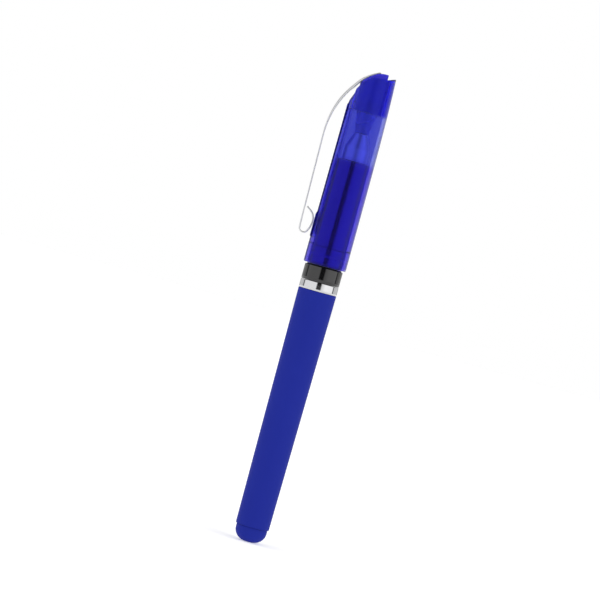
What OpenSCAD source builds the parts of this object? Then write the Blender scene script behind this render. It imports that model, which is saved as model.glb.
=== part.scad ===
// Capped gel pen, standing on its tail with the cap up.
// +Z runs along the pen from the tail to the cap, and the clip is on the -X side.
// The origin is the centre of the small flat on the tail.

/* [Barrel] */
// Height of the domed tail that shows below the barrel
tail_h = 4.65; // [4:0.05:6]
// Diameter of the tail's straight part
tail_d = 9.56; // [9:0.02:10]
// Length of the barrel tube
barrel_l = 73.35; // [70:0.05:80]
// Diameter of the barrel at the tail
barrel_rear_d = 10.28; // [10.2:0.02:11]
// Diameter of the barrel at the ring, which the ring and collar share
barrel_front_d = 11.7; // [11.5:0.02:12.4]
// Height of the trim ring
ring_h = 2.65; // [2:0.05:4]

/* [Front section] */
// Height of the collar that shows between ring and cap
collar_h = 4.65; // [4:0.05:6]
// Length of the grip from the collar's top to its front shoulder
grip_l = 32.9; // [31:0.1:34]
// Diameter of the grip at its front shoulder
grip_front_d = 9.9; // [9.6:0.02:10]
// Length of the nose cone's straight base
nose_base_l = 4.1; // [3.5:0.1:4.5]
// Diameter of the nose cone's base
nose_base_d = 7.6; // [7.4:0.02:8]
// Length of the nose cone's taper
nose_taper_l = 4.6; // [4.4:0.1:4.8]
// Pitch of the thread that holds the section in the barrel
thread_pitch = 1.6; // [1.4:0.1:1.8]

/* [Refill] */
// Outside diameter of the ink tube
ink_tube_d = 6; // [5.8:0.05:6]
// Length of the ink column
ink_l = 66; // [20:1:80]
// Diameter of the writing ball
ball_d = 0.7; // [0.5:0.1:0.7]

/* [Cap] */
// Length of the cap from its mouth to the seat of the plug
cavity_l = 47.6; // [47:0.1:50]
// Outside diameter of the cap at its mouth
cap_mouth_d = 13.1; // [13:0.05:13.6]
// Gap between the collar and the cap's mouth
mouth_gap = 0.4; // [0.2:0.1:0.8]

/* [Clip] */
// Width of the spring strip
clip_w = 4.2; // [3.4:0.1:4.6]
// Thickness of the spring strip
clip_t = 0.44; // [0.3:0.02:0.46]
// Length of the clip's straight leg
clip_leg_l = 28.75; // [24:0.25:29]

/* [Hidden] */

fine = 96;
fit = 0.03;       // gap between pieces that are pressed together
run = 0.1;        // gap between pieces that turn or slide on each other

// Heights along the pen
ring_z = tail_h + barrel_l;
ring_top_z = ring_z + ring_h;
collar_z = ring_top_z + run;
collar_top_z = collar_z + collar_h;
mouth_z = collar_top_z + mouth_gap;
grip_top_z = collar_top_z + grip_l;
nose_taper_z = grip_top_z + nose_base_l;
nose_top_z = nose_taper_z + nose_taper_l;
plug_seat_z = mouth_z + cavity_l;

// Radii that more than one piece uses
barrel_rear_r = barrel_rear_d / 2;
barrel_front_r = barrel_front_d / 2;
bushing_r = 4.83;
bushing_l = 12;
spigot_r = 4.05;
spigot_l = 7.4;
ink_tube_r = ink_tube_d / 2;
ink_tube_bore = 2.2;
nose_spigot_r = 3.5;
nose_spigot_l = 5;
nose_front_r = 2.12;
nose_bore = 1.25;
tip_r = 1.15;
ball_r = ball_d / 2;

// Thread between the section's tail and the bushing
tail_l = 10.6;
thread_root_r = 3.68;
thread_crest_r = 4.1;
thread_turns = 5;
thread_wide = 0.88;
thread_narrow = 0.48;

// Refill heights
socket_l = 3;
refill_z = tail_h + spigot_l - socket_l + 0.1;
refill_top_z = grip_top_z - nose_spigot_l - 0.9;
ink_top_z = refill_top_z - 7.6;
follower_l = 4;
ball_z = nose_top_z + 4.05;

// Cap: the plug, and the rim of the shell as [x, height over the mouth]
plug_r = 4.36;
plug_back_x = 3.32;
rim_low = [[-6.42, 49.5], [-5.2, 51.4], [-5.12, 53.6], [-4.9, 54.0], [-4.36, 54.6]];
rim_high = [[0.1, 58.25], [plug_back_x, 58.55], [5.75, 59.65]];
rim_drop = 0.55;

// Clip: a walk of tangent stretches, each [length, turn in degrees], from the crest of the cap
clip_start = [0.35, mouth_z + 60.05, 207.3];
clip_crest = [[6.25, 20]];
clip_bow = [[11.5, 28.25], [8.15, 15.54], [clip_leg_l, 0]];
clip_loop = [[3.5, 150.6], [3.69, 29.8], [3.34, 54.2], [1.4, 0]];
tang_bend_r = 0.45;
tang_turn = clip_start[2] - 90;
tang_bend = [tang_bend_r * tang_turn * PI / 180, tang_turn];
tang_l = 6.4;
rail_w = 4;

// ---- Shared shapes ----

// A solid of revolution about the pen's axis, from [radius, height] points
module lathe(points) {
    rotate_extrude($fn = fine) polygon(points);
}

// A plate along Y, from [x, z] points
module plate(points, width) {
    rotate([90, 0, 0]) linear_extrude(height = width, center = true) polygon(points);
}

// Points of an arc about c, from angle a to angle b
function arc(c, r, a, b, n = 6) =
    [for (i = [0 : n]) let (t = a + (b - a) * i / n) [c[0] + r * cos(t), c[1] + r * sin(t)]];

// The pose [x, z, heading] at share u of a stretch [length, turn]
function along(pose, stretch, u) =
    let (h = pose[2], a = stretch[1] * u, k = stretch[0] / (stretch[1] * PI / 180))
    stretch[1] == 0
        ? [pose[0] + stretch[0] * u * cos(h), pose[1] + stretch[0] * u * sin(h), h]
        : [pose[0] + k * (sin(h + a) - sin(h)), pose[1] - k * (cos(h + a) - cos(h)), h + a];

// The pose at the end of the first n stretches of a walk
function walked(pose, walk, n) = n == 0 ? pose : along(walked(pose, walk, n - 1), walk[n - 1], 1);

// Every pose of a walk, about one for each 6 degrees of turn
function poses(pose, walk) = concat([pose], [
    for (i = [0 : len(walk) - 1])
        let (first = walked(pose, walk, i), n = max(1, ceil(abs(walk[i][1]) / 6)))
            for (k = [1 : n]) along(first, walk[i], k / n)
]);

// The points a distance d to the right of each pose
function beside(list, d) = [for (p = list) [p[0] + d * sin(p[2]), p[1] - d * cos(p[2])]];

function reversed(list) = [for (i = [len(list) - 1 : -1 : 0]) list[i]];

// The outline of a strip of thickness t along a walk
function strip(list, t) = concat(beside(list, t / 2), reversed(beside(list, -t / 2)));

// A helical ridge whose section is wide at radius r_wide and narrow at radius r_narrow
module ridge(z, r_wide, r_narrow, turns) {
    steps = 24;
    n = turns * steps;
    section = [[r_wide, -thread_wide / 2], [r_narrow, -thread_narrow / 2],
               [r_narrow, thread_narrow / 2], [r_wide, thread_wide / 2]];
    points = [for (i = [0 : n]) for (p = section)
        let (a = 360 * i / steps) [p[0] * cos(a), p[0] * sin(a), z + p[1] + thread_pitch * i / steps]];
    walls = [for (i = [0 : n - 1]) for (k = [0 : 3]) for (half = [0, 1])
        let (a = 4 * i + k, b = 4 * i + (k + 1) % 4)
            half == 0 ? [a, b, b + 4] : [a, b + 4, a + 4]];
    ends = [[3, 2, 1, 0], [4 * n, 4 * n + 1, 4 * n + 2, 4 * n + 3]];
    faces = concat(walls, ends);
    polyhedron(points, r_wide < r_narrow ? faces : [for (f = faces) reversed(f)]);
}

// ---- Barrel ----

module barrel_tube() {
    bore_rear = spigot_r + fit;
    round_r = 0.25;
    color("#26308f") lathe(concat(
        [[bore_rear, tail_h + fit]],
        arc([barrel_rear_r - round_r, tail_h + fit + round_r], round_r, -90, 0, 4),
        [[barrel_front_r - 0.06, ring_z - 0.15], [barrel_front_r - 0.15, ring_z - fit],
         [bushing_r + fit, ring_z - fit], [bushing_r + fit, ring_z - bushing_l - fit],
         [4.5, ring_z - bushing_l - fit], [3.85, tail_h + spigot_l + 0.4],
         [bore_rear, tail_h + spigot_l + 0.4]]));
}

module end_plug() {
    r = tail_d / 2;
    flat_r = 1.0;
    dome_h = 3.6;
    dome = [for (i = [0 : 12]) let (t = 90 * i / 12)
        [flat_r + (r - flat_r) * sin(t), dome_h * (1 - cos(t))]];
    socket_z = tail_h + spigot_l - socket_l;
    socket_r = ink_tube_r + run;
    slot_w = 0.8;
    color("#26308f") difference() {
        lathe(concat([[0, 0]], dome,
            [[r, tail_h - 0.1], [r - 0.1, tail_h], [spigot_r, tail_h],
             [spigot_r, tail_h + spigot_l - 0.4], [spigot_r - 0.3, tail_h + spigot_l],
             [socket_r + 0.2, tail_h + spigot_l], [socket_r, tail_h + spigot_l - 0.3],
             [socket_r, socket_z], [2.4, socket_z], [2.4, 2.2], [0, 2.2]]));
        // Four slots let the spigot spring into the barrel
        for (a = [45 : 90 : 315])
            rotate(a) translate([2.6, -slot_w / 2, socket_z + 0.6]) cube([2, slot_w, socket_l]);
    }
}

module trim_ring() {
    edge = 0.12;
    r = barrel_front_r;
    inner = bushing_r + fit;
    color("#d8d8d8") lathe([[inner, ring_z], [r - edge, ring_z], [r, ring_z + edge],
        [r, ring_top_z - edge], [r - edge, ring_top_z], [inner, ring_top_z]]);
}

module thread_bushing() {
    bore = thread_crest_r + 0.06;
    foot_z = ring_z - bushing_l;
    color("#303030") {
        lathe([[bore + 0.2, foot_z], [bushing_r - 0.2, foot_z], [bushing_r, foot_z + 0.3],
            [bushing_r, ring_top_z], [bore + 0.2, ring_top_z], [bore, ring_top_z - 0.2],
            [bore, foot_z + 0.2]]);
        ridge(ring_top_z - 1.6 - thread_pitch * 5.5, bore + 0.2, thread_root_r + 0.08, thread_turns);
    }
}

// ---- Refill ----

module refill_tube() {
    color("#dfe6ee") lathe([[ink_tube_bore, refill_z], [ink_tube_r, refill_z],
        [ink_tube_r, refill_top_z], [ink_tube_bore, refill_top_z]]);
}

module gel_ink() {
    r = ink_tube_bore - fit;
    foot_z = ink_top_z - ink_l;
    color("#1a2a9c") lathe([[0, foot_z], [r, foot_z], [r, ink_top_z], [0, ink_top_z]]);
}

module ink_follower() {
    r = ink_tube_bore - fit;
    top = ink_top_z - ink_l - fit;
    dish = [for (i = [0 : 6]) [r * i / 6, top - follower_l + 0.5 * (1 - pow(i / 6, 2))]];
    color("#e8e2c0") lathe(concat(dish, [[r, top], [0, top]]));
}

module nib_holder() {
    r = ink_tube_bore - fit;
    flange_z = refill_top_z + fit;
    front_z = grip_top_z + 2.6;
    shank_r = 0.88;
    color("#e6ecf5") lathe([[0.6, ink_top_z + fit], [r - 0.2, ink_top_z + fit], [r, ink_top_z + 0.4],
        [r, flange_z], [2.9, flange_z], [2.9, flange_z + 0.75], [2.45, flange_z + 0.75],
        [2.45, front_z], [1.5, front_z + 1.7], [shank_r, front_z + 1.7],
        [shank_r, front_z - 3], [0.6, front_z - 3]]);
}

module tip_cone() {
    shank_z = grip_top_z - 0.3;
    body_z = grip_top_z + 4.33;
    taper_z = nose_top_z + 2.2;
    seat_z = ball_z - 0.12;
    duct = 0.2;
    color("#c9ccd0") difference() {
        lathe([[duct, shank_z], [0.85, shank_z], [0.85, body_z], [tip_r - 0.1, body_z],
            [tip_r, body_z + 0.15], [tip_r, taper_z], [0.92, taper_z + 0.35],
            [0.43, seat_z + 0.2], [ball_r - 0.04, seat_z + 0.28], [duct, seat_z - 0.2]]);
        translate([0, 0, ball_z]) sphere(ball_r + 0.015, $fn = fine);
    }
}

module writing_ball() {
    color("#8d9096") translate([0, 0, ball_z]) sphere(ball_r, $fn = fine);
}

// ---- Front section ----

module grip_section() {
    bore = ink_tube_r + run;
    seat_r = 5.3;
    seat_l = 5.8;
    bead_z = collar_top_z + 3.8;
    foot_z = collar_z - tail_l;
    front_r = grip_front_d / 2;
    socket = nose_spigot_r + fit;
    color("#303132") {
        lathe(concat(
            [[bore, foot_z], [thread_root_r - 0.25, foot_z], [thread_root_r, foot_z + 0.3],
             [thread_root_r, collar_z], [barrel_front_r - 0.12, collar_z], [barrel_front_r, collar_z + 0.12]],
            arc([barrel_front_r - 0.4, collar_top_z - 0.4], 0.4, 0, 90, 4),
            [[seat_r, collar_top_z]],
            arc([seat_r - 0.5, bead_z], 0.58, -30, 30, 6),
            [[seat_r, collar_top_z + seat_l], [5.1, collar_top_z + seat_l + 0.3],
             [front_r, grip_top_z - 0.15], [front_r - 0.15, grip_top_z], [socket, grip_top_z],
             [socket, grip_top_z - nose_spigot_l - 0.1], [bore, grip_top_z - nose_spigot_l - 0.1]]));
        ridge(foot_z + 0.75, thread_root_r - 0.2, thread_crest_r, thread_turns);
    }
}

module nose_cone() {
    base_r = nose_base_d / 2;
    hollow = 2.55;
    inside_z = grip_top_z + 2.7;
    color("#cfd2d6") lathe(concat(
        [[hollow, grip_top_z - nose_spigot_l], [nose_spigot_r, grip_top_z - nose_spigot_l],
         [nose_spigot_r, grip_top_z + fit], [base_r - 0.15, grip_top_z + fit], [base_r, grip_top_z + 0.18],
         [base_r, nose_taper_z - 0.2], [base_r - 0.2, nose_taper_z],
         [nose_front_r + 0.15, nose_top_z - 0.25]],
        arc([nose_front_r - 0.15, nose_top_z - 0.25], 0.25, 15, 90, 4),
        [[nose_bore, nose_top_z], [nose_bore, inside_z + 2.5], [hollow, inside_z]]));
}

// ---- Cap ----

// The middle of the top end of the clip's tang, heading up
function tang_top() = along(clip_start, -tang_bend, 1);

// The line a distance below the clip where it lies on the plug's crest, from the back forward
function crest_line(drop) = beside(poses(clip_start, clip_crest), -clip_t / 2 - drop);

module cap_shell() {
    mouth_r = cap_mouth_d / 2;
    outer = [[mouth_r - 0.2, 0], [mouth_r - 0.06, 0.06], [mouth_r, 0.2], [mouth_r - 0.02, 10], [6.48, 25],
             [6.41, 34], [6.31, 43], [6.18, 49], [5.98, 55], [5.7, 61]];
    lip_r = 5.42;
    inner = [[plug_r + fit, 61], [plug_r + fit, cavity_l], [5.06, cavity_l], [5.24, 6.1], [lip_r, 5.6],
             [lip_r, 0.3], [lip_r + 0.25, 0]];
    rail = [[-6.77, 8], [-6.77, 14.6], [-6.46, 15.5], [-6.44, 48.9], [-6.1, 49.3],
            [-5.8, 49.3], [-5.8, 7.6], [-6.5, 7.6]];
    rim_arc = [for (p = reversed(crest_line(rim_drop))) if (p[0] > -plug_r + 0.15 && p[0] < -1.2) p];
    cut = concat([[-9, mouth_z + rim_low[0][1]]],
        [for (p = rim_low) [p[0], mouth_z + p[1]]],
        rim_arc,
        [for (p = rim_high) [p[0], mouth_z + p[1]]],
        [[9, mouth_z + 60], [9, mouth_z + 70], [-9, mouth_z + 70]]);
    color("#3a40c8", 0.6) difference() {
        union() {
            translate([0, 0, mouth_z]) lathe(concat(outer, inner));
            translate([0, 0, mouth_z]) plate(rail, rail_w);
        }
        plate(cut, 20);
    }
}

module cap_plug() {
    socket_r = 2.62;
    socket_h = 3;
    slot = clip_t + 2 * fit;
    tang = tang_top();
    keep = concat([[plug_back_x, plug_seat_z], [plug_back_x, mouth_z + 59.8],
        [plug_back_x - 0.12, mouth_z + 60.05], [plug_back_x - 0.4, mouth_z + 60.18],
        [2.2, mouth_z + 60.2], [1.6, mouth_z + 60.08],
        [tang[0], mouth_z + 59.93], [tang[0], tang[1] - 0.1]],
        crest_line(0.02),
        [[-6, mouth_z + 56], [-6, plug_seat_z]]);
    color("#2926a6") difference() {
        intersection() {
            translate([0, 0, plug_seat_z]) cylinder(r = plug_r, h = 20, $fn = fine);
            plate(keep, 20);
        }
        // Socket for the inner cap, and the slot that grips the clip's tang
        translate([0, 0, plug_seat_z - 1]) cylinder(r = socket_r, h = socket_h + 1, $fn = fine);
        translate([tang[0] - slot / 2, -clip_w / 2 - fit, tang[1] - tang_l - 0.1])
            cube([slot, clip_w + 2 * fit, 20]);
    }
}

module inner_cap() {
    bore = 1.6;
    foot_z = nose_top_z + 0.12;
    top_z = plug_seat_z + 2.95;
    color("#3338c4") lathe([[bore + 0.15, foot_z], [nose_front_r, foot_z],
        [nose_front_r + 0.05, foot_z + 0.2], [3.1, plug_seat_z - fit], [2.6, plug_seat_z - fit],
        [2.6, top_z - 0.3], [2.3, top_z], [0, top_z], [0, plug_seat_z - 1.2],
        [bore - 0.1, plug_seat_z - 1.2], [bore, foot_z + 0.2]]);
}

// ---- Clip ----

module clip_root() {
    top = tang_top();
    foot = [top[0], top[1] - tang_l, top[2]];
    bends = concat([[tang_l, 0], tang_bend], clip_crest);
    color("#c8cacd") plate(strip(poses(foot, bends), clip_t), clip_w);
}

module clip_arm() {
    first = walked(clip_start, clip_crest, len(clip_crest));
    color("#c8cacd") plate(strip(poses(first, concat(clip_bow, clip_loop)), clip_t), clip_w);
}

barrel_tube();
end_plug();
trim_ring();
thread_bushing();
refill_tube();
gel_ink();
ink_follower();
nib_holder();
tip_cone();
writing_ball();
grip_section();
nose_cone();
cap_shell();
cap_plug();
inner_cap();
clip_root();
clip_arm();
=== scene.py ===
import bpy
import math
import numpy as np
from mathutils import Matrix, Vector


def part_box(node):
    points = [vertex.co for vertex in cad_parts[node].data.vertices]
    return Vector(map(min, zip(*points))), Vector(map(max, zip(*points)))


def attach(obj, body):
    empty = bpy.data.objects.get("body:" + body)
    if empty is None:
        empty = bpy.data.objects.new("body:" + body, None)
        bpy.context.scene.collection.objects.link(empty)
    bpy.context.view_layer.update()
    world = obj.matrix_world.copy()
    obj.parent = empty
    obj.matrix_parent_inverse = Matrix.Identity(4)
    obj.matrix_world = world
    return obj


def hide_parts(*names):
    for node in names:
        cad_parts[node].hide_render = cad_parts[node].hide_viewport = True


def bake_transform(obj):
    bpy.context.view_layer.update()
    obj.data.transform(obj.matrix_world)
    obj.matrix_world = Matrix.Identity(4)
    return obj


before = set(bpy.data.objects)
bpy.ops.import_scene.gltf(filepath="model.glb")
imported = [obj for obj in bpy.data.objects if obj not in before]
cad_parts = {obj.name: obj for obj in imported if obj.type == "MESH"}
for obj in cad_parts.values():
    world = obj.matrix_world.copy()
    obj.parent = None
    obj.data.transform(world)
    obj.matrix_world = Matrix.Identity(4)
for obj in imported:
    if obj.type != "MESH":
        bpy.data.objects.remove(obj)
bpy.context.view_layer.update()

mm = 0.001
pressFit = 0.03  # gap between two parts that are pressed together, in mm
scene = bpy.context.scene


# lowest height, highest height and outer radius of a part, in mm
def spanOf(node):
    low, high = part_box(node)
    return low.z / mm, high.z / mm, high.y / mm


# a colour as it would be picked on screen (0 to 255), turned into the shader's linear values
def screenColour(red, green, blue):
    c = np.array([red, green, blue]) / 255
    c = np.where(c <= 0.04045, c / 12.92, ((c + 0.055) / 1.055) ** 2.4)
    return (*c.tolist(), 1.0)


# corners in mm, four-sided and three-sided faces as index arrays, tags as one value for each corner
def makeMesh(name, corners, quads, triangles=None, crease=32, tags=None):
    faces = quads.tolist() + ([] if triangles is None else triangles.tolist())
    mesh = bpy.data.meshes.new(name)
    mesh.from_pydata((corners * mm).tolist(), [], faces)
    for key, value in (tags or {}).items():
        mesh.attributes.new(key, "FLOAT", "POINT").data.foreach_set("value", value.astype(np.float32))
    mesh.polygons.foreach_set("use_smooth", np.ones(len(mesh.polygons), bool))
    mesh.update()
    mesh.set_sharp_from_angle(angle=math.radians(crease))
    piece = bpy.data.objects.new(name, mesh)
    scene.collection.objects.link(piece)
    return piece


# quads of a grid of points, row after row, closed round its columns and if asked round its rows
def gridQuads(rows, columns, closedRows):
    i = np.arange(rows if closedRows else rows - 1)[:, None]
    j = np.arange(columns)[None, :]
    up, on = (i + 1) % rows, (j + 1) % columns
    quads = np.stack([i * columns + j, i * columns + on, up * columns + on, up * columns + j], -1)
    return quads.reshape(-1, 4)


# triangles from a ring of points to one point, facing back along the rows or on along them
def fanTriangles(ring, tip, facingBack):
    onward = np.roll(ring, -1)
    order = (onward, ring) if facingBack else (ring, onward)
    return np.stack([*order, np.full(len(ring), tip)], -1)


# rounds every corner of an outline at once. A row is [across, up, radius]. The arc touches both edges: its
# centre lies on the corner's bisector at radius / sin(half angle), and it runs from one touching point to
# the other as (start sin((1-t) s) + end sin(t s)) / sin(s), with s the arc's angle
def roundOff(outline, steps=6, closed=True):
    rows = np.asarray(outline, float)
    p, radius = rows[:, :2], rows[:, 2]
    back, ahead = np.roll(p, 1, 0) - p, np.roll(p, -1, 0) - p
    lengthBack, lengthAhead = np.linalg.norm(back, axis=1), np.linalg.norm(ahead, axis=1)
    back, ahead = back / lengthBack[:, None], ahead / lengthAhead[:, None]
    half = np.arccos(np.clip((back * ahead).sum(1), -1, 1)) / 2
    reach = np.minimum(radius / np.tan(half), 0.49 * np.minimum(lengthBack, lengthAhead))
    radius = reach * np.tan(half)
    bisector = back + ahead
    bisector = bisector / np.maximum(np.linalg.norm(bisector, axis=1), 1e-9)[:, None]
    centre = p + bisector * (radius / np.sin(half))[:, None]
    start, end = p + back * reach[:, None] - centre, p + ahead * reach[:, None] - centre
    sweep = np.maximum(np.pi - 2 * half, 1e-4)[:, None]
    t = np.linspace(0, 1, steps + 1)[None, :]
    a, b = np.sin((1 - t) * sweep) / np.sin(sweep), np.sin(t * sweep) / np.sin(sweep)
    points = centre[:, None] + start[:, None] * a[..., None] + end[:, None] * b[..., None]
    points = points.reshape(-1, 2)
    if not closed:
        points = points[steps:len(points) - steps]
    apart = np.linalg.norm(points - np.roll(points, 1, 0), axis=1) > 1e-4
    return points[apart] if closed else points[np.r_[True, apart[1:]]]


# adds points along an outline so that none lie further apart than step (straight interpolation along it)
def fillIn(points, step, closed=True):
    loop = np.vstack([points, points[:1]]) if closed else points
    along = np.r_[0, np.cumsum(np.linalg.norm(np.diff(loop, axis=0), axis=1))]
    parts = np.maximum(1, np.ceil(np.diff(along) / step)).astype(int)
    start = np.repeat(along[:-1], parts)
    width = np.repeat(np.diff(along) / parts, parts)
    count = np.arange(parts.sum()) - np.repeat(np.cumsum(parts) - parts, parts)
    wanted = start + width * count
    wanted = wanted if closed else np.r_[wanted, along[-1]]
    return np.stack([np.interp(wanted, along, loop[:, 0]), np.interp(wanted, along, loop[:, 1])], -1)


# a turned piece. Point (i, j) is (r cos a, r sin a, z): r and z come from point i of the outline, and a is
# j of the columns' share of a full turn. swell(r, z, a) adds to r. The outline runs round the solid with
# its outer wall going up, and where it starts and ends on the axis those ends are single points.
def turnedPiece(name, outline, columns=144, step=3.0, swell=None, closed=True, crease=32):
    points = fillIn(roundOff(outline, closed=closed), step, closed)
    ring = points if closed else points[1:-1]
    angle = np.linspace(0, 2 * np.pi, columns, endpoint=False)[None, :]
    r, z = ring[:, :1] + 0 * angle, ring[:, 1:] + 0 * angle
    if swell is not None:
        r = r + swell(r, z, angle)
    corners = np.stack([r * np.cos(angle), r * np.sin(angle), z], -1).reshape(-1, 3)
    quads = gridQuads(len(ring), columns, closed)
    triangles = None
    if not closed:
        first, last = np.arange(columns), np.arange(columns) + (len(ring) - 1) * columns
        tips = np.array([[0, 0, points[0, 1]], [0, 0, points[-1, 1]]])
        triangles = np.vstack([fanTriangles(first, len(corners), True),
                               fanTriangles(last, len(corners) + 1, False)])
        corners = np.vstack([corners, tips])
    return makeMesh(name, corners, quads, triangles, crease)


# 0 below low, 1 above high, and a smooth 3t^2 - 2t^3 between them
def easeIn(value, low, high):
    t = np.clip((value - low) / (high - low), 0, 1)
    return t * t * (3 - 2 * t)


# radii in mm: the bore takes the tail's spigot, then widens slowly up to the seat of the threaded insert
barrelLook = {
    "rearRadius": 5.14, "frontRadius": 5.85, "rearRounding": 0.28, "frontRounding": 0.12,
    "spigotBore": 4.08, "spigotGap": 0.4, "rearBore": 3.85, "frontBore": 4.5, "boreRounding": 0.1,
    "lipRounding": 0.05, "columns": 160, "step": 2.0,
}

tubeFoot, tubeTop = spanOf("barrel_tube")[:2]
plugTop, plugRadius = spanOf("end_plug")[1:]
bushFoot, bushRadius = spanOf("thread_bushing")[::2]
ringFoot, ringTop, ringRadius = spanOf("trim_ring")
insertBore = bushRadius + pressFit
spigotEnd = plugTop + barrelLook["spigotGap"]

# turned: a tapered tube, its outline going up the outside and down the stepped bore
barrelTube = turnedPiece("barrelTube", [
    [barrelLook["spigotBore"], tubeFoot, barrelLook["lipRounding"]],
    [barrelLook["rearRadius"], tubeFoot, barrelLook["rearRounding"]],
    [barrelLook["frontRadius"], tubeTop, barrelLook["frontRounding"]],
    [insertBore, tubeTop, barrelLook["lipRounding"]], [insertBore, bushFoot - pressFit, 0],
    [barrelLook["frontBore"], bushFoot - pressFit, barrelLook["boreRounding"]],
    [barrelLook["rearBore"], spigotEnd, barrelLook["boreRounding"]],
    [barrelLook["spigotBore"], spigotEnd, 0]], columns=barrelLook["columns"], step=barrelLook["step"])
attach(barrelTube, "barrel")
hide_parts("barrel_tube")

tailLook = {
    "domeFlat": 1.0, "domeHeight": 3.6, "shoulder": 4.65, "shoulderRounding": 0.12,
    "spigot": 4.05, "spigotRounding": 0.4, "bore": 3.1, "boreRounding": 0.25,
    "socket": 2.4, "socketTop": 9.05, "socketFoot": 2.2, "socketRounding": 0.5,
}

# the dome is a quarter of an ellipse round a small flat: r = flat + (R - flat) sin t, z = H (1 - cos t)
domeTurn = np.linspace(0, np.pi / 2, 25)
dome = np.stack([tailLook["domeFlat"] + (plugRadius - tailLook["domeFlat"]) * np.sin(domeTurn),
                 tailLook["domeHeight"] * (1 - np.cos(domeTurn)), 0 * domeTurn], -1)
tailPlug = turnedPiece("tailPlug", [
    [0, 0, 0], *dome.tolist(), [plugRadius, tailLook["shoulder"], tailLook["shoulderRounding"]],
    [tailLook["spigot"], tailLook["shoulder"], 0], [tailLook["spigot"], plugTop, tailLook["spigotRounding"]],
    [tailLook["bore"], plugTop, tailLook["boreRounding"]], [tailLook["bore"], tailLook["socketTop"], 0.1],
    [tailLook["socket"], tailLook["socketTop"], 0.1],
    [tailLook["socket"], tailLook["socketFoot"], tailLook["socketRounding"]],
    [0, tailLook["socketFoot"], 0]], columns=144, step=1.5, closed=False)
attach(tailPlug, "barrel")
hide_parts("end_plug")

ringLook = {"rounding": 0.16, "boreRounding": 0.05}

trimRing = turnedPiece("trimRing", [
    [insertBore, ringFoot, ringLook["boreRounding"]], [ringRadius, ringFoot, ringLook["rounding"]],
    [ringRadius, ringTop, ringLook["rounding"]], [insertBore, ringTop, ringLook["boreRounding"]]],
    columns=160, step=0.5)
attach(trimRing, "barrel")
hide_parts("trim_ring")
print("barrel, tail and ring made")


sectionLook = {
    "pitch": 1.6, "turns": 5, "threadStart": 0.75, "threadRoot": 3.68, "threadDepth": 0.42, "threadHalf": 0.44,
    "collarGap": 0.1, "collarLength": 4.65, "collarRounding": 0.42,
    "gripRadius": 5.3, "gripLength": 5.8, "beadHeight": 3.8, "beadDepth": 0.08, "beadReach": 0.35,
    "bore": 3.1, "frontRadius": 4.95, "frontSocket": 3.53,
}

sectionFoot, sectionTop, collarRadius = spanOf("grip_section")
noseFoot, noseTop, noseRadius = spanOf("nose_cone")
capFoot = spanOf("cap_shell")[0]
collarFoot = ringTop + sectionLook["collarGap"]
collarTop = collarFoot + sectionLook["collarLength"]


# what the section's wall gains in radius. The thread is a ridge that climbs one pitch a turn: at height z and
# angle a the turn number is the whole number nearest to (z - z0) / pitch - a / 2 pi, plus a / 2 pi. The
# ridge eases off with the distance from its middle and fades out at both ends. The bead on the grip is a
# bell curve, depth e^-((z - middle) / reach)^2
def sectionSwell(r, z, a):
    look = sectionLook
    q = (z - sectionFoot - look["threadStart"]) / look["pitch"] - a / (2 * np.pi)
    whole = np.round(q)
    turn = whole + a / (2 * np.pi)
    fade = easeIn(turn, -0.02, 0.1) * (1 - easeIn(turn, look["turns"] - 0.1, look["turns"] + 0.02))
    ridge = easeIn(look["threadHalf"] - np.abs(q - whole) * look["pitch"], -0.02, 0.24)
    onTail = (r > look["threadRoot"] - 0.02) & (z < collarFoot - 0.2)
    onGrip = r > look["gripRadius"] - 0.1
    bead = look["beadDepth"] * np.exp(-((z - collarTop - look["beadHeight"]) / look["beadReach"]) ** 2)
    return np.where(onTail, look["threadDepth"] * ridge * fade, 0) + np.where(onGrip, bead, 0)


# the two walls that swell need close rows of points: 200 on the threaded tail, 24 across the bead
tailWall = np.stack([np.full(200, sectionLook["threadRoot"]),
                     np.linspace(sectionFoot + 0.35, collarFoot - 0.15, 200), np.zeros(200)], -1)
beadWall = np.stack([np.full(24, sectionLook["gripRadius"]),
                     np.linspace(collarTop + 2.9, collarTop + 4.7, 24), np.zeros(24)], -1)
gripEnd = collarTop + sectionLook["gripLength"]
gripSection = turnedPiece("gripSection", [
    [sectionLook["bore"], sectionFoot, 0.05], [3.43, sectionFoot, 0], [3.66, sectionFoot + 0.3, 0],
    *tailWall.tolist(), [sectionLook["threadRoot"], collarFoot, 0], [collarRadius, collarFoot, 0.14],
    [collarRadius, collarTop, sectionLook["collarRounding"]], [sectionLook["gripRadius"], collarTop, 0.3],
    *beadWall.tolist(), [sectionLook["gripRadius"], gripEnd, 0.1], [5.1, gripEnd + 0.3, 0.15],
    [sectionLook["frontRadius"], sectionTop, 0.2], [sectionLook["frontSocket"], sectionTop, 0.03],
    [sectionLook["frontSocket"], noseFoot - 0.1, 0.03], [sectionLook["bore"], noseFoot - 0.1, 0.03]],
    columns=180, step=1.0, swell=sectionSwell, crease=40)
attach(gripSection, "section")
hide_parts("grip_section")

noseLook = {
    "spigot": 3.5, "rimRounding": 0.18, "coneStart": 4.1, "coneRounding": 0.3,
    "mouth": 2.13, "mouthRounding": 0.28, "bore": 2.55, "boreEnd": 2.7, "tipBore": 1.25, "tipBoreStart": 5.2,
}

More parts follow.
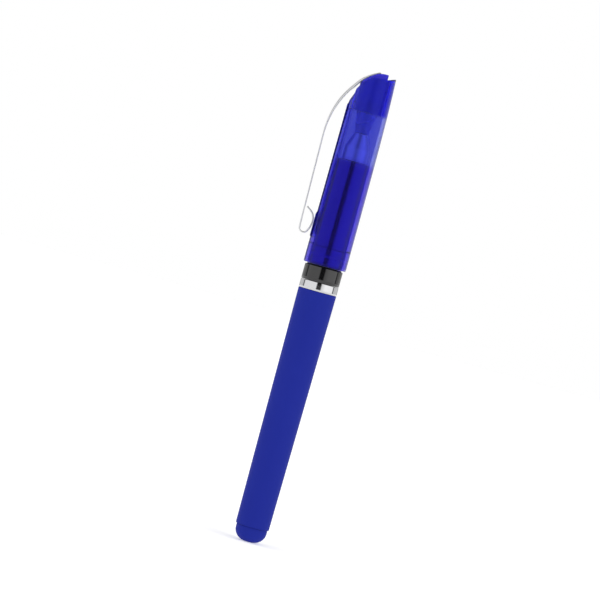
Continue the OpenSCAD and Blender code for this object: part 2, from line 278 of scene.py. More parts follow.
# turned: a spigot in the section, a short plain part and the cone; heights are over the section's front
noseSeat = sectionTop + pressFit
noseCone = turnedPiece("noseCone", [
    [noseLook["bore"], noseFoot, 0.1], [noseLook["spigot"], noseFoot, 0.15], [noseLook["spigot"], noseSeat, 0],
    [noseRadius, noseSeat, noseLook["rimRounding"]],
    [noseRadius, sectionTop + noseLook["coneStart"], noseLook["coneRounding"]],
    [noseLook["mouth"], noseTop, noseLook["mouthRounding"]], [noseLook["tipBore"], noseTop, 0.1],
    [noseLook["tipBore"], sectionTop + noseLook["tipBoreStart"], 0.2],
    [noseLook["bore"], sectionTop + noseLook["boreEnd"], 0.3]], columns=144, step=0.6)
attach(noseCone, "section")
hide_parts("nose_cone")

tipLook = {
    "bore": 0.2, "shank": 0.85, "shankLength": 4.63, "shoulderEnd": 2.2, "coneFoot": 2.5, "coneRadius": 0.94,
    "neck": 0.46, "rim": 0.33, "cup": 0.31,
}

tipFoot, tipTop, tipRadius = spanOf("tip_cone")
shankTop = tipFoot + tipLook["shankLength"]
tipCone = turnedPiece("tipCone", [
    [tipLook["bore"], tipFoot, 0], [tipLook["shank"], tipFoot, 0.08], [tipLook["shank"], shankTop, 0],
    [tipRadius, shankTop, 0.15], [tipRadius, noseTop + tipLook["shoulderEnd"], 0.1],
    [tipLook["coneRadius"], noseTop + tipLook["coneFoot"], 0.15], [tipLook["neck"], tipTop - 0.14, 0.05],
    [tipLook["rim"], tipTop, 0.02], [tipLook["cup"], tipTop - 0.05, 0], [tipLook["rim"], tipTop - 0.28, 0],
    [tipLook["bore"], tipTop - 0.45, 0]], columns=72, step=0.8)
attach(tipCone, "refill")
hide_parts("tip_cone")
print("section, nose cone and tip made")


# stretches are [length, turn in degrees], walked from the foot of the tang in the plug, over the crest, down
# the bow and the straight leg and round the loop
clipLook = {
    "start": (0.35, 60.05, 207.3), "tang": [[6.4, 0], [0.9212, 117.3]],
    "stretches": [[6.25, 20], [11.5, 28.25], [8.15, 15.54], [28.75, 0],
                  [3.5, 150.6], [3.69, 29.8], [3.34, 54.2], [1.4, 0]],
    "width": 4.2, "thickness": 0.44, "edgeRounding": 0.17,
    "crown": 0.42, "crestShare": 0.35, "loopShare": 0.25, "crownSink": 0.85,
    "bendStart": (-3.5, 0, 143.3), "bendEnd": (-9, 0, 135),  # mm, where the clip's spring begins and ends
}


# the clip's line: the heading is the running sum of the turns, and x and z are the running sums of
# cos(heading) and sin(heading) over small equal steps, moved so that the crest starts where it should
def clipLine(look, mouth, step):
    stretches = np.array(look["tang"] + look["stretches"], float)
    ends = np.r_[0, np.cumsum(stretches[:, 0])]
    headings = 90 + np.r_[0, np.cumsum(stretches[:, 1])]
    s = np.linspace(0, ends[-1], int(ends[-1] / step) + 1)
    heading = np.radians(np.interp(s, ends, headings))
    middle = (heading[1:] + heading[:-1]) / 2
    gap = s[1] - s[0]
    x = np.r_[0, np.cumsum(np.cos(middle) * gap)]
    z = np.r_[0, np.cumsum(np.sin(middle) * gap)]
    crest = ends[len(look["tang"])]
    x += look["start"][0] - np.interp(crest, s, x)
    z += mouth + look["start"][1] - np.interp(crest, s, z)
    return s, x, z, heading, ends


lineAt, lineX, lineZ, lineHeading, lineEnds = clipLine(clipLook, capFoot, 0.1)


# the clip: a strip's section carried along the line. Point (i, j) is line i + n_j outwards + y_j across. The
# strip is crowned: its middle stands crown (1 - (2y / width)^2) higher, most on the bow, less on the crest and
# in the loop, and not at all on the tang and the straight leg
def clipStrip(name, look):
    w, t = look["width"] / 2, look["thickness"] / 2
    e = look["edgeRounding"]
    section = fillIn(roundOff([[-w, -t, e], [w, -t, e], [w, t, e], [-w, t, e]]), 0.3)[::-1]
    y, n = section[:, 0][None, :], section[:, 1][None, :]
    onCrest = easeIn(lineAt, lineEnds[2] - 0.2, lineEnds[2] + 1.5)
    offLeg = 1 - easeIn(lineAt, lineEnds[4] - 5, lineEnds[5])
    inLoop = easeIn(lineAt, lineEnds[6] - 3, lineEnds[6] + 1)
    least = look["crestShare"]
    onBow = least + (1 - least) * easeIn(lineAt, lineEnds[2], lineEnds[3] + 3)
    crown = look["crown"] * (onCrest * onBow * offLeg + look["loopShare"] * inLoop)
    sink = look["crownSink"] * crown * easeIn(lineAt, lineEnds[2] + 4, lineEnds[3] + 3)
    bulge = crown[:, None] * (1 - (y / w) ** 2) - sink[:, None]
    out = n + bulge
    heading = lineHeading[:, None]
    corners = np.stack([lineX[:, None] + out * np.sin(heading), y + 0 * heading,
                        lineZ[:, None] - out * np.cos(heading)], -1)
    rows, columns = corners.shape[:2]
    tips = corners[[0, -1]].mean(1)
    corners = np.vstack([corners.reshape(-1, 3), tips])
    first, last = np.arange(columns), np.arange(columns) + (rows - 1) * columns
    triangles = np.vstack([fanTriangles(first, rows * columns, True),
                           fanTriangles(last, rows * columns + 1, False)])
    return makeMesh(name, corners, gridQuads(rows, columns, False), triangles, 40)


springClip = clipStrip("springClip", clipLook)
print("clip made,", round(float(lineAt[-1]), 1), "mm of strip")


# heights are over the mouth. "outer" and "rail" are [height, distance from the axis], and "rimLow" and
# "rimHigh" are the slanted cut's [x, height] in front of and behind the clip's crest
capLook = {
    "outer": [[0.2, 6.55], [10, 6.53], [25, 6.48], [34, 6.41], [43, 6.31], [49, 6.18], [55, 5.98], [61, 5.7]],
    "bore": 4.39, "seat": 47.6, "wideBore": 5.06, "lowBore": 5.24, "lowBoreFoot": 6.1,
    "lip": 5.42, "lipTop": 5.6, "lipFoot": 0.3, "mouthRounding": 0.12,
    "rail": [[7.4, 6.4], [7.9, 6.77], [14.6, 6.77], [15.5, 6.46], [48.7, 6.44], [49.3, 6.1]],
    "railHalf": 2.0, "railEase": 0.12, "rimRounding": 0.22,
    "rimLow": [[-6.42, 49.5], [-5.2, 51.4], [-5.12, 53.6], [-4.9, 54.0], [-4.36, 54.6]],
    "rimHigh": [[0.1, 58.25], [3.32, 58.55], [5.75, 59.65]],
    "rimDrop": 0.55, "rimFrom": -4.2, "rimTo": -1.2,  # between these x the cut runs this far under the strip
    "gripShadeTop": (31.4, 33.4),  # the painted shade on the lower wall, over the grip, fades out between these heights
}

plugSeat = spanOf("cap_plug")[0]
onPlug = (lineAt >= lineEnds[2]) & (lineAt <= lineEnds[3])


# points a distance below the strip's middle line where it lies on the plug, from front to back, as x, height
def underClip(drop):
    x = lineX[onPlug] - drop * np.sin(lineHeading[onPlug])
    z = lineZ[onPlug] + drop * np.cos(lineHeading[onPlug])
    return np.stack([x, z - capFoot], -1)[::-1]


rimArc = underClip(clipLook["thickness"] / 2 + capLook["rimDrop"])
rimArc = rimArc[(rimArc[:, 0] > capLook["rimFrom"]) & (rimArc[:, 0] < capLook["rimTo"])]
rimCut = np.vstack([capLook["rimLow"], rimArc, capLook["rimHigh"]])
outerFit = np.polyfit(*np.array(capLook["outer"]).T, 4)  # radius as a fourth-degree curve of the height


# the slanted cut's height at x, on straight lines between its points
def rimHeight(x):
    return np.interp(x, rimCut[:, 0], rimCut[:, 1])


# the cap's outer surface at angle f from the clip side and height h over the mouth: a circle whose radius is a
# smooth curve of h, with the flat rail pushed out to its own x where |y| is under half its width
def capSurface(f, h):
    r = np.polyval(outerFit, h)
    x, y = -r * np.cos(f), r * np.sin(f)
    railOut = np.interp(h, *np.array(capLook["rail"]).T)
    half, ease = capLook["railHalf"], capLook["railEase"]
    share = (1 - easeIn(np.abs(y), half - ease, half + ease)) * (np.cos(f) > 0)
    return x - share * np.maximum(0, railOut + x), y


# the shell: closed rows of points, up the outside, over the rim, down the bore and back under the mouth. The
# columns stand close together on the rail, at fixed y, and evenly round the rest. The edges of the rim are
# curves (1-t)^2 start + 2t(1-t) corner + t^2 end
def capShellPiece(name, look):
    half, rounding = look["railHalf"] + look["railEase"], look["rimRounding"]
    edge, flat = half + 0.05, look["railHalf"] - 0.3
    acrossRail = np.r_[np.linspace(-edge, -flat, 10)[:-1], np.linspace(-flat, flat, 15),
                       np.linspace(flat, edge, 10)[1:]]
    roundRest = np.linspace(0, 1, 182)[1:-1]

    def angles(h):
        r = np.polyval(outerFit, h)
        side = np.arcsin(edge / r)
        return np.concatenate([np.arcsin(acrossRail / r), side + (2 * np.pi - 2 * side) * roundRest], -1)

    # the height where each column meets the slanted cut, halving the interval each time
    baseF = angles(np.array([50.0])[:, None])[0]
    low, high = np.full(len(baseF), 45.0), np.full(len(baseF), 62.0)
    for _ in range(40):
        middle = (low + high) / 2
        under = middle < rimHeight(capSurface(baseF, middle)[0])
        low, high = np.where(under, middle, low), np.where(under, high, middle)
    rim = low

    # up the outside: level rows with most of them on the bump under the clip, then rows that tilt to the cut
    lowHeights = np.r_[np.linspace(0.2, 7.2, 14), np.linspace(7.3, 16, 60), np.linspace(16.5, 44, 40)]
    lowerF = angles(lowHeights[:, None])
    lowerX, lowerY = capSurface(lowerF, lowHeights[:, None])
    lower = np.stack([lowerX, lowerY, lowHeights[:, None] + 0 * lowerX], -1)
    share = np.linspace(0, 1, 46)[1:, None]
    upperH = lowHeights[-1] + (rim[None, :] - rounding - lowHeights[-1]) * share
    upperF = lowerF[-1][None, :] * (1 - share) + baseF[None, :] * share
    upperX, upperY = capSurface(upperF, upperH)
    upper = np.stack([upperX, upperY, upperH], -1)

    # over the rim, with a rounded corner at its outer and its inner edge
    outerX, outerY = capSurface(baseF, rim)
    outerCorner = np.stack([outerX, outerY, rim], -1)
    boreX, boreY = -look["bore"] * np.cos(baseF), look["bore"] * np.sin(baseF)
    innerCorner = np.stack([boreX, boreY, rimHeight(boreX)], -1)
    across = innerCorner - outerCorner
    across = across / np.linalg.norm(across, axis=-1)[:, None]
    t = np.linspace(0, 1, 7)[1:, None, None]
    bendOut = ((1 - t) ** 2 * upper[-1][None] + 2 * t * (1 - t) * outerCorner
               + t * t * (outerCorner + across * rounding))
    downInner = innerCorner - np.array([0, 0, rounding])
    bendIn = ((1 - t) ** 2 * (innerCorner - across * rounding) + 2 * t * (1 - t) * innerCorner
              + t * t * downInner)

    # down the bore to the seat, then the inside's own outline and the mouth's rounded edge
    share = np.linspace(0, 1, 24)[1:, None]
    boreH = downInner[None, :, 2] * (1 - share) + look["seat"] * share
    bore = np.stack([boreX + 0 * boreH, boreY + 0 * boreH, boreH], -1)
    mouthRadius, mouthTop = look["outer"][0][1], look["outer"][0][0]
    inside = roundOff([[look["bore"], look["seat"], 0], [look["wideBore"], look["seat"], 0.15],
                       [look["lowBore"], look["lowBoreFoot"], 0.1], [look["lip"], look["lipTop"], 0.1],
                       [look["lip"], look["lipFoot"], 0.1], [look["lip"] + 0.25, 0, 0.1],
                       [mouthRadius - 0.13, 0, look["mouthRounding"]], [mouthRadius, mouthTop, 0]],
                      closed=False)
    inside = fillIn(inside, 1.0, False)[1:-1]
    insideR, insideH = inside[:, :1], inside[:, 1:]
    inner = np.stack([-insideR * np.cos(baseF), insideR * np.sin(baseF), insideH + 0 * baseF], -1)

    rows = np.concatenate([lower, upper, bendOut, bendIn, bore, inner])[:, ::-1]
    count, columns = rows.shape[:2]
    x, y, h = rows.reshape(-1, 3).T
    # two marks for the finish: the rail and the top, and the wall that lies over the grip, which gets painted
    # shade
    rail = (1 - easeIn(np.abs(y), half, half + 0.4)) * (x < 0) * easeIn(h, 7.2, 8.2)
    top = (0.3 + 0.7 * easeIn(x, 2.8, 3.8)) * easeIn(h, look["seat"] - 0.2, look["seat"] + 0.2)
    marks = {"thickness": np.maximum(rail, top), "paintedGripShade": 1 - easeIn(h, *look["gripShadeTop"])}
    return makeMesh(name, np.stack([x, y, h + capFoot], -1), gridQuads(count, columns, True), None, 38, marks)


capShell = capShellPiece("capShell", capLook)
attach(capShell, "cap")
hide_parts("cap_shell")

plugLook = {
    "radius": 4.36, "back": 3.32, "cornerSoftness": 14.0, "edge": 0.32, "socket": 2.62, "socketDepth": 3.0,
    "backRise": [[1.0, 59.86], [1.6, 60.05], [2.2, 60.17], [2.8, 60.22], [3.4, 60.23]],
}


# the plug: its plan is a circle cut flat at the back, with radius -ln(e^-kR + e^-k b/cos a) / k, a soft least
# of the two. Its top is a smooth curve of x that follows the strip's underside and then runs nearly level to
# the back
def capPlugPiece(name, look):
    line = np.vstack([underClip(clipLook["thickness"] / 2 + pressFit), look["backRise"]])
    topFit = np.polyfit(line[:, 0], line[:, 1], 5)
    nearCorner = np.linspace(-0.12, 0.12, 16)  # more columns at the two ends of the flat
    a = np.sort(np.r_[np.linspace(-np.pi, np.pi, 150, endpoint=False),
                      np.radians(45) + nearCorner, np.radians(-45) + nearCorner])
    k = look["cornerSoftness"]
    flat = np.where(np.cos(a) > 0.2, look["back"] / np.maximum(np.cos(a), 0.2), 50)
    plan = -np.log(np.exp(-k * look["radius"]) + np.exp(-k * flat)) / k
    ux, uy = np.cos(a), np.sin(a)

    def at(radius, height):
        return np.stack([radius * ux, radius * uy, height + 0 * ux], -1)

    def top(radius):
        return at(radius, np.polyval(topFit, np.clip(radius * ux, -4.5, 3.5)))

    e, seat, socket = look["edge"], plugSeat - capFoot, look["socket"]
    foot = [at(socket, seat + look["socketDepth"]), at(socket, seat + 0.05), at(socket + 0.05, seat),
            at(plan - e, seat), at(plan - 0.3 * e, seat + 0.3 * e), at(plan, seat + e)]
    edgeTop = top(plan)
    share = np.linspace(0, 1, 20)[1:, None, None]
    side = foot[-1][None] * (1 - share) + (edgeTop - np.array([0, 0, e]))[None] * share
    t = np.linspace(0, 1, 6)[1:, None, None]
    bend = (1 - t) ** 2 * side[-1][None] + 2 * t * (1 - t) * edgeTop + t * t * top(plan - e)
    shrink = np.linspace(1, 0.02, 26)[1:]
    cover = np.stack([top((plan - e) * f) for f in shrink])
    rows = np.concatenate([np.stack(foot), side, bend, cover]) + np.array([0, 0, capFoot])
    count, columns = rows.shape[:2]
    tips = np.array([[0, 0, capFoot + seat + look["socketDepth"]], [0, 0, capFoot + np.polyval(topFit, 0)]])
    corners = np.vstack([rows.reshape(-1, 3), tips])
    first, last = np.arange(columns), np.arange(columns) + (count - 1) * columns
    triangles = np.vstack([fanTriangles(first, count * columns, True),
                           fanTriangles(last, count * columns + 1, False)])
    return makeMesh(name, corners, gridQuads(count, columns, False), triangles, 38)


capPlug = capPlugPiece("capPlug", plugLook)
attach(capPlug, "cap")
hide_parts("cap_plug")

innerLook = {
    "stem": 2.6, "stemRounding": 0.3, "rim": 3.1, "mouth": 2.17, "mouthRounding": 0.1,
    "pocket": 1.5, "pocketMouth": 1.75, "pocketDepth": 1.2, "pocketRounding": 0.25,
}

# turned: a stem in the plug, and a cone under it with a pocket that closes round the tip
innerFoot, innerTop = spanOf("inner_cap")[:2]
coneTop = plugSeat - pressFit
innerCap = turnedPiece("innerCap", [
    [0, plugSeat - innerLook["pocketDepth"], 0],
    [innerLook["pocket"], plugSeat - innerLook["pocketDepth"], innerLook["pocketRounding"]],
    [innerLook["pocket"] + 0.1, innerFoot + 0.2, 0.1], [innerLook["pocketMouth"], innerFoot, 0.05],
    [innerLook["mouth"] - 0.05, innerFoot, innerLook["mouthRounding"]],
    [innerLook["mouth"], innerFoot + 0.2, innerLook["mouthRounding"]], [innerLook["rim"], coneTop, 0.05],
    [innerLook["stem"], coneTop, 0], [innerLook["stem"], innerTop, innerLook["stemRounding"]],
    [0, innerTop, 0]], columns=120, step=0.8, closed=False)
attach(innerCap, "cap")
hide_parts("inner_cap")

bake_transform(springClip)
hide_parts("clip_root", "clip_arm")
print("cap, plug and inner cap made")


# an empty shader group with named inputs, as (label, kind, value), and named outputs, as (label, kind)
def newGroup(name, inputs, outputs):
    group = bpy.data.node_groups.new(name, "ShaderNodeTree")
    for label, kind, value in inputs:
        socket = group.interface.new_socket(name=label, in_out="INPUT", socket_type="NodeSocket" + kind)
        socket.default_value = value
    for label, kind in outputs:
        group.interface.new_socket(name=label, in_out="OUTPUT", socket_type="NodeSocket" + kind)
    return group, group.nodes.new("NodeGroupInput"), group.nodes.new("NodeGroupOutput")


# a node with its settings and its inputs' values. An input is given by its name, or as i and its number
def addNode(tree, kind, settings=None, **values):
    node = tree.nodes.new("ShaderNode" + kind)
    for key, value in (settings or {}).items():
        setattr(node, key, value)
    for key, value in values.items():
        numbered = key[0] == "i" and key[1:].isdigit()
        node.inputs[int(key[1:]) if numbered else key].default_value = value
    return node


# fine grain of a moulded or coated surface, with slow patches from handling
def buildGrain():
    scales = [("Grain Scale", "Float", 9000.0), ("Patch Scale", "Float", 120.0)]
    group, inside, out = newGroup("mouldGrain", scales, [("Grain", "Float"), ("Patch", "Float")])
    place = addNode(group, "TexCoord")
    fine = addNode(group, "TexNoise", Detail=2.0, Roughness=0.55)
    slow = addNode(group, "TexNoise", Detail=3.0, Roughness=0.5)
    group.links.new(place.outputs["Object"], fine.inputs["Vector"])
    group.links.new(place.outputs["Object"], slow.inputs["Vector"])
    group.links.new(inside.outputs["Grain Scale"], fine.inputs["Scale"])
    group.links.new(inside.outputs["Patch Scale"], slow.inputs["Scale"])
    group.links.new(fine.outputs["Fac"], out.inputs["Grain"])
    group.links.new(slow.outputs["Fac"], out.inputs["Patch"])
    return group


# short fine marks that run along one direction: noise squeezed across it and drawn out along it
def buildStreaks():
    squeeze = [("Squeeze", "Vector", (1.0, 1.0, 1.0))]
    group, inside, out = newGroup("fineStreaks", squeeze, [("Streak", "Float")])
    place = addNode(group, "TexCoord")
    stretch = addNode(group, "VectorMath", {"operation": "MULTIPLY"})
    noise = addNode(group, "TexNoise", Scale=1.0, Detail=2.0, Roughness=0.6)
    group.links.new(place.outputs["Object"], stretch.inputs[0])
    group.links.new(inside.outputs["Squeeze"], stretch.inputs[1])
    group.links.new(stretch.outputs["Vector"], noise.inputs["Vector"])
    group.links.new(noise.outputs["Fac"], out.inputs["Streak"])
    return group


# how much of a point's height lies above a level: 0 under it, 1 a hair over it
def buildAbove():
    group, inside, out = newGroup("aboveLevel", [("Level", "Float", 0.0)], [("Above", "Float")])
    place = addNode(group, "TexCoord")
    parts = addNode(group, "SeparateXYZ")
    over = addNode(group, "Math", {"operation": "SUBTRACT"})
    lift = addNode(group, "Math", {"operation": "MULTIPLY", "use_clamp": True}, i1=4000.0)
    group.links.new(place.outputs["Object"], parts.inputs[0])
    group.links.new(parts.outputs["Z"], over.inputs[0])
    group.links.new(inside.outputs["Level"], over.inputs[1])
    group.links.new(over.outputs[0], lift.inputs[0])
    group.links.new(lift.outputs[0], out.inputs["Above"])
    return group


mouldGrain, fineStreaks, aboveLevel = buildGrain(), buildStreaks(), buildAbove()


# a finish: the Principled shader's plain values are set on its own sockets. tint mixes two colours by the slow
# patches, roughness runs between two values by them, and the grain goes to a bump
def newFinish(name, tint, rough, grain, streak=None, **plain):
    material = bpy.data.materials.new(name)
    material.use_nodes = True
    tree = material.node_tree
    shader = tree.nodes["Principled BSDF"]
    for key, value in plain.items():
        shader.inputs[key.replace("_", " ")].default_value = value
    surface = addNode(tree, "Group", {"node_tree": mouldGrain})
    surface.inputs["Grain Scale"].default_value = grain["scale"]
    surface.inputs["Patch Scale"].default_value = grain.get("patches", 120.0)
    colour = addNode(tree, "Mix", {"data_type": "RGBA"})
    colour.inputs["A"].default_value, colour.inputs["B"].default_value = tint
    roughness = addNode(tree, "MapRange", i1=0.3, i2=0.7, i3=rough[0], i4=rough[1])
    bump = addNode(tree, "Bump", Strength=grain["strength"], Distance=grain["depth"] * mm)
    tree.links.new(surface.outputs["Patch"], colour.inputs["Factor"])
    tree.links.new(surface.outputs["Patch"], roughness.inputs["Value"])
    tree.links.new(roughness.outputs["Result"], shader.inputs["Roughness"])
    tree.links.new(bump.outputs["Normal"], shader.inputs["Normal"])
    tree.links.new(colour.outputs["Result"], shader.inputs["Base Color"])
    if streak:
        lines = addNode(tree, "Group", {"node_tree": fineStreaks})
        lines.inputs["Squeeze"].default_value = streak["squeeze"]
        tree.links.new(lines.outputs["Streak"], bump.inputs["Height"])
    else:
        tree.links.new(surface.outputs["Grain"], bump.inputs["Height"])
    return material


# two screen colours, so that the finish can drift slowly between them
def tints(darker, lighter):
    return screenColour(*darker), screenColour(*lighter)


softBlue = newFinish("softBlue", tints((29, 41, 143), (33, 45, 149)), (0.5, 0.6),
                     {"scale": 12000.0, "strength": 0.25, "depth": 0.01}, Specular_IOR_Level=0.06)
chrome = newFinish("chrome", tints((200, 200, 202), (208, 208, 210)), (0.04, 0.07),
                   {"scale": 3000.0, "strength": 0.04, "depth": 0.002}, Metallic=1.0)
satinMetal = newFinish("satinMetal", tints((212, 213, 215), (221, 222, 224)), (0.36, 0.42),
                       {"scale": 4000.0, "strength": 0.1, "depth": 0.003}, Metallic=1.0)
glossBlack = newFinish("glossBlack", tints((14, 14, 15), (18, 18, 19)), (0.03, 0.06),
                       {"scale": 5000.0, "strength": 0.04, "depth": 0.002}, IOR=1.62, Coat_IOR=2.9,
                       Coat_Roughness=0.03)

# the three blue plastics of the cap differ in how much light they let through
bluePlastic = {"IOR": 1.49, "Specular_IOR_Level": 0.1, "Specular_Tint": (0.1, 0.1, 0.6, 1.0)}
clearGrain = {"scale": 700.0, "strength": 0.05, "depth": 0.01}
clearBlue = newFinish("clearBlue", tints((134, 142, 250), (138, 146, 252)), (0.03, 0.06), clearGrain,
                      Transmission_Weight=0.935, **bluePlastic)
deepBlue = newFinish("deepBlue", tints((73, 67, 234), (77, 71, 238)), (0.06, 0.1), clearGrain,
                     Transmission_Weight=0.45, **bluePlastic)
cloudyBlue = newFinish("cloudyBlue", tints((128, 134, 246), (134, 140, 250)), (0.2, 0.3), clearGrain,
                       Transmission_Weight=0.5, **bluePlastic)

# brushed along the strip, and turned round the tip
springSteel = newFinish("springSteel", tints((212, 213, 215), (222, 223, 224)), (0.26, 0.34),
                        {"scale": 4000.0, "strength": 0.2, "depth": 0.004},
                        {"squeeze": (900.0, 9000.0, 900.0)}, Metallic=1.0)
turnedSteel = newFinish("turnedSteel", tints((196, 197, 200), (206, 207, 210)), (0.2, 0.3),
                        {"scale": 4000.0, "strength": 0.2, "depth": 0.003},
                        {"squeeze": (300.0, 300.0, 22000.0)}, Metallic=1.0)

# what is hidden until the pen is opened
paleMoulding = newFinish("paleMoulding", tints((226, 230, 236), (234, 238, 242)), (0.3, 0.4),
                         {"scale": 6000.0, "strength": 0.1, "depth": 0.006})
darkMoulding = newFinish("darkMoulding", tints((34, 34, 35), (40, 40, 41)), (0.35, 0.45),
                         {"scale": 6000.0, "strength": 0.15, "depth": 0.008})
clearTube = newFinish("clearTube", tints((232, 236, 240), (238, 241, 244)), (0.1, 0.16),
                      {"scale": 900.0, "strength": 0.05, "depth": 0.01}, Transmission_Weight=0.9, IOR=1.49)
gelBlue = newFinish("gelBlue", tints((18, 24, 120), (22, 30, 132)), (0.15, 0.25),
                    {"scale": 1200.0, "strength": 0.1, "depth": 0.01})
paleGrease = newFinish("paleGrease", tints((226, 220, 190), (232, 227, 200)), (0.3, 0.4),
                       {"scale": 1500.0, "strength": 0.15, "depth": 0.02})

# the cap's colour goes over to each of these by the mark of that name on its mesh. "thickness" stands for the
# deeper look of the thick rail and top. The lower wall is no thicker than the rest: its deeper blue is painted
# shade, darkened for the look over the black grip, and it shows as a step in the blue when the cap is off
capTintsAndShade = {"paintedGripShade": (93, 80, 240), "thickness": (36, 34, 226)}


def deepenCap(material, depths):
    tree = material.node_tree
    baseColour = tree.nodes["Principled BSDF"].inputs["Base Color"]
    colour = baseColour.links[0].from_socket
    for mark, tint in depths.items():
        share = addNode(tree, "Attribute", {"attribute_name": mark})
        mix = addNode(tree, "Mix", {"data_type": "RGBA"})
        mix.inputs["B"].default_value = screenColour(*tint)
        tree.links.new(colour, mix.inputs["A"])
        tree.links.new(share.outputs["Fac"], mix.inputs["Factor"])
        colour = mix.outputs["Result"]
    tree.links.new(colour, baseColour)


# a coat on all of the section above the collar's shoulder, only for light that came through the cap: the
# tinted wall would otherwise swallow the grip's shine
def coatGrip(material, level):
    tree = material.node_tree
    mask = addNode(tree, "Group", {"node_tree": aboveLevel})
    mask.inputs["Level"].default_value = level * mm
    ray = addNode(tree, "LightPath")
    coat = addNode(tree, "Math", {"operation": "MULTIPLY"})
    tree.links.new(mask.outputs["Above"], coat.inputs[0])
    tree.links.new(ray.outputs["Is Transmission Ray"], coat.inputs[1])
    tree.links.new(coat.outputs[0], tree.nodes["Principled BSDF"].inputs["Coat Weight"])


# the cap's blue, deepened on the thick rail and top, with painted shade on the lower wall over the grip
deepenCap(clearBlue, capTintsAndShade)
coatGrip(glossBlack, collarTop + 0.9)

finishes = {
    barrelTube: softBlue, tailPlug: softBlue, trimRing: chrome, gripSection: glossBlack, noseCone: satinMetal,
    tipCone: turnedSteel, capShell: clearBlue, capPlug: deepBlue, innerCap: cloudyBlue, springClip: springSteel,
    # the parts that keep the shape they came with
    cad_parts["thread_bushing"]: darkMoulding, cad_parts["refill_tube"]: clearTube,
    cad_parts["gel_ink"]: gelBlue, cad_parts["ink_follower"]: paleGrease,
    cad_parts["nib_holder"]: paleMoulding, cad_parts["writing_ball"]: turnedSteel,
}
for piece, material in finishes.items():
    piece.data.materials.clear()
    piece.data.materials.append(material)
print("finishes made:", len(set(finishes.values())), "on", len(finishes), "pieces")

# "around" is [degrees from the camera, brightness], left of it below nought and right of it above: a dark gap
# where the camera stands, a broad white panel on each side of it, a thin dark seam, and the white backdrop.
# "ceiling" is how high it starts to dim, how high it is dimmest, and by how much, in reflections
studioLook = {
    "around": [(-180, 0.5), (-156, 0.5), (-142, 0.8), (-110, 0.75), (-106, 0.15), (-100, 0.15), (-96, 1.1),
               (-16, 1.15), (-12, 0.02), (11, 0.02), (17, 1.0), (40, 1.45), (93, 1.35), (95, 0.08),
               (100, 0.08), (104, 0.75), (142, 0.8), (156, 0.5), (180, 0.5)],
    "most": 2.0, "ceiling": (0.7, 0.95, 1.6), "backdrop": 1.0,
}


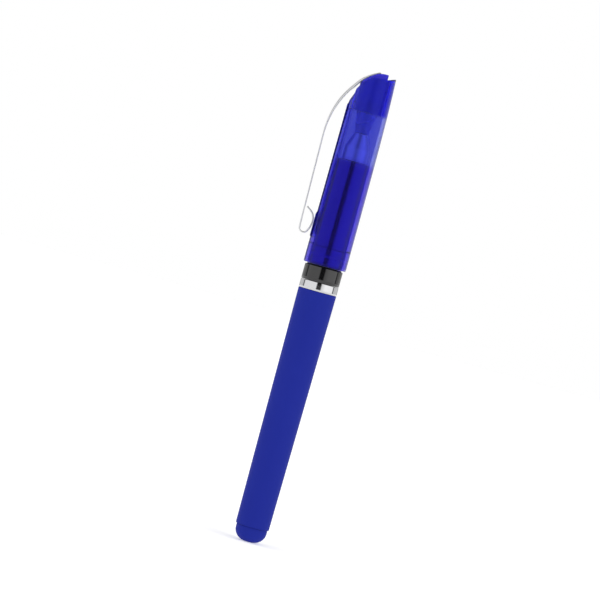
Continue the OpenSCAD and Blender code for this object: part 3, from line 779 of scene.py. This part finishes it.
# the light all round: its strength is ramp(arctan2(x, -y)) x (most - dimming), where a ramp step holds a
# brightness over most. What the camera sees past the pen is the plain backdrop
def buildStudio(look):
    world = bpy.data.worlds.new("studio")
    world.use_nodes = True
    tree = world.node_tree
    background = tree.nodes["Background"]
    background.inputs["Color"].default_value = (1, 1, 1, 1)
    place = addNode(tree, "TexCoord")
    parts = addNode(tree, "SeparateXYZ")
    minusY = addNode(tree, "Math", {"operation": "MULTIPLY"}, i1=-1.0)
    turn = addNode(tree, "Math", {"operation": "ARCTAN2"})
    share = addNode(tree, "MapRange", i1=-math.pi, i2=math.pi)
    ramp = addNode(tree, "ValToRGB")
    steps = ramp.color_ramp.elements
    while len(steps) < len(look["around"]):
        steps.new(0.5)
    for step, (angle, brightness) in zip(steps, look["around"]):
        step.position = (angle + 180) / 360
        step.color = (*[brightness / look["most"]] * 3, 1)
    ray = addNode(tree, "LightPath")
    dimFrom, dimTo, dimBy = look["ceiling"]
    ceiling = addNode(tree, "MapRange", {"interpolation_type": "SMOOTHSTEP"},
                      i1=dimFrom, i2=dimTo, i3=0.0, i4=dimBy)
    drop = addNode(tree, "Math", {"operation": "MULTIPLY"})
    level = addNode(tree, "Math", {"operation": "SUBTRACT"}, i0=look["most"])
    strength = addNode(tree, "Math", {"operation": "MULTIPLY"})
    plain = addNode(tree, "Mix", {"data_type": "FLOAT"}, B=look["backdrop"])
    tree.links.new(place.outputs["Generated"], parts.inputs[0])
    tree.links.new(parts.outputs["Y"], minusY.inputs[0])
    tree.links.new(parts.outputs["X"], turn.inputs[0])
    tree.links.new(minusY.outputs[0], turn.inputs[1])
    tree.links.new(turn.outputs[0], share.inputs["Value"])
    tree.links.new(share.outputs["Result"], ramp.inputs["Fac"])
    tree.links.new(parts.outputs["Z"], ceiling.inputs["Value"])
    tree.links.new(ramp.outputs["Color"], strength.inputs[0])
    tree.links.new(ceiling.outputs["Result"], drop.inputs[0])
    tree.links.new(ray.outputs["Is Glossy Ray"], drop.inputs[1])
    tree.links.new(drop.outputs[0], level.inputs[1])
    tree.links.new(level.outputs[0], strength.inputs[1])
    tree.links.new(strength.outputs[0], plain.inputs["A"])
    tree.links.new(ray.outputs["Is Camera Ray"], plain.inputs["Factor"])
    tree.links.new(plain.outputs["Result"], background.inputs["Strength"])
    scene.world = world


buildStudio(studioLook)

floorLook = {"half": 3.0, "under": 0.00002, "grey": 0.86, "roughness": 0.9, "glow": 0.4}  # metres


def layFloor(look):
    edge = look["half"] * np.array([[-1, -1, 0], [1, -1, 0], [1, 1, 0], [-1, 1, 0]]) - [0, 0, look["under"]]
    mesh = bpy.data.meshes.new("floor")
    mesh.from_pydata(edge.tolist(), [], [(0, 1, 2, 3)])
    floor = bpy.data.objects.new("floor", mesh)
    scene.collection.objects.link(floor)
    paper = bpy.data.materials.new("paper")
    paper.use_nodes = True
    shader = paper.node_tree.nodes["Principled BSDF"]
    shader.inputs["Base Color"].default_value = (look["grey"], look["grey"], look["grey"], 1)
    shader.inputs["Roughness"].default_value = look["roughness"]
    shader.inputs["Emission Color"].default_value = (1, 1, 1, 1)
    shader.inputs["Emission Strength"].default_value = look["glow"]
    mesh.materials.append(paper)
    return floor


floor = layFloor(floorLook)

# lean and elevation in degrees, distance and the width of the view in metres, aim in mm
cameraLook = {"lean": 15.52, "elevation": 1.0, "distance": 1.0, "width": 0.18007, "aim": (-4.37, 0, 74.12)}


# the camera looks along +Y, and it is rolled so that the pen leans to the right
def placeCamera(look):
    data = bpy.data.cameras.new("camera")
    camera = bpy.data.objects.new("camera", data)
    scene.collection.objects.link(camera)
    e, lean = math.radians(look["elevation"]), math.radians(look["lean"])
    back = Vector((0, -math.cos(e), math.sin(e)))
    level, rise = Vector((1, 0, 0)), Vector((0, math.sin(e), math.cos(e)))
    right = math.cos(lean) * level + math.sin(lean) * rise
    up = -math.sin(lean) * level + math.cos(lean) * rise
    aim = Vector(look["aim"]) * mm
    place = Matrix((right, up, back)).transposed().to_4x4()
    place.translation = aim + back * look["distance"]
    camera.matrix_world = place
    data.sensor_width = 36
    data.lens = data.sensor_width * look["distance"] / look["width"]
    data.clip_start, data.clip_end = 0.01, 20
    scene.camera = camera


placeCamera(cameraLook)
scene.view_settings.view_transform = "Standard"
print("studio and camera placed")
